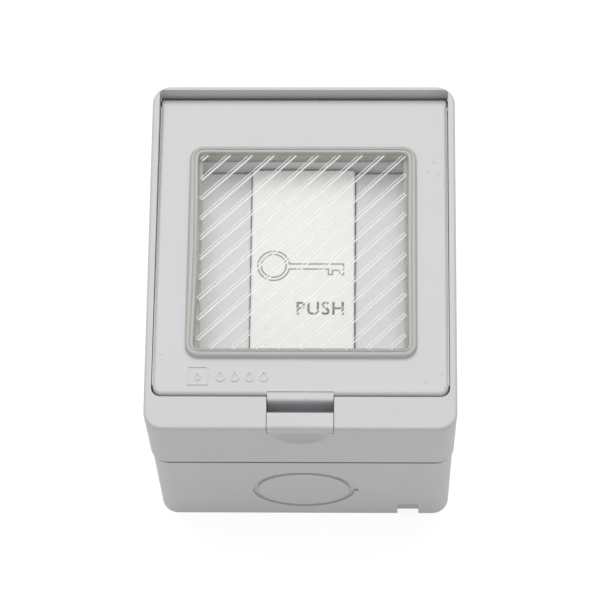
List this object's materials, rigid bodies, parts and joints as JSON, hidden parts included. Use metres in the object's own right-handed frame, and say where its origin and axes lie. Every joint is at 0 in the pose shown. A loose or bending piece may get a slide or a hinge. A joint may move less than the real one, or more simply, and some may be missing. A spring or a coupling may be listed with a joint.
{
  "type": "weatherproof exit button",
  "caption": "Surface-mount weatherproof exit button: a grey box whose hinged lid has a soft ribbed window over a white push plate with a switch behind it.",
  "frame": {"origin": "centre of the wall face, which is the underside of the part as it lies on its back", "axes": "+Z out of the wall to the front, +Y up the wall to the lid's hinge, +X to the right seen from the front"},
  "size_m": [0.066, 0.0801, 0.0574],
  "materials": {
    "housing": "fine satin moulded ABS, pale grey",
    "lid": "fine satin moulded ABS, pale grey",
    "window": "soft clear elastomer, satin",
    "seal": "soft foam rubber",
    "carrier": "moulded, mid grey",
    "blank": "fine satin, pale grey",
    "plate": "semi-gloss warm white",
    "switch": "moulded, off white",
    "plunger": "moulded, dark grey",
    "contact": "rolled strip",
    "steel": "zinc plated"
  },
  "bodies": {
    "housing": {"back_box": "housing", "front_cover": "housing", "housing_seal": "seal", "cover_screws": "steel", "hinge_pins": "steel", "carrier_frame": "carrier", "carrier_screws": "steel", "blank_left": "blank", "blank_right": "blank", "plate_axle": "steel", "switch_body": "switch", "switch_base": "switch", "return_spring": "steel", "terminal_com": "contact", "terminal_no": "contact", "terminal_nc": "contact", "terminal_screws": "steel", "wire_clamps": "steel"},
    "lid": {"lid": "lid", "lid_window": "window", "lid_seal": "seal"},
    "button": {"push_plate": "plate"},
    "plunger": {"plunger": "plunger", "contact_bridge": "contact"}
  },
  "joints": [
    {"name": "lid_hinge", "type": "hinge", "parent": "housing", "child": "lid", "pos_m": [0, 0.0367, 0.05109], "axis": [-1, 0, 0], "range_deg": [0, 90]},
    {"name": "button_press", "type": "hinge", "parent": "housing", "child": "button", "pos_m": [0, 0.0216, 0.0444], "axis": [1, 0, 0], "range_deg": [0, 2.4], "stiffness_Nm_per_rad": 1.2, "springref_deg": -2.29},
    {"name": "plunger_slide", "type": "slide", "parent": "housing", "child": "plunger", "axis": [0, 0, -1], "range_m": [0, 0.0009], "deforming": ["return_spring"]}
  ],
  "couplings": [
    {"joint": "plunger_slide", "follows": "button_press", "m_per_rad": 0.0199}
  ]
}
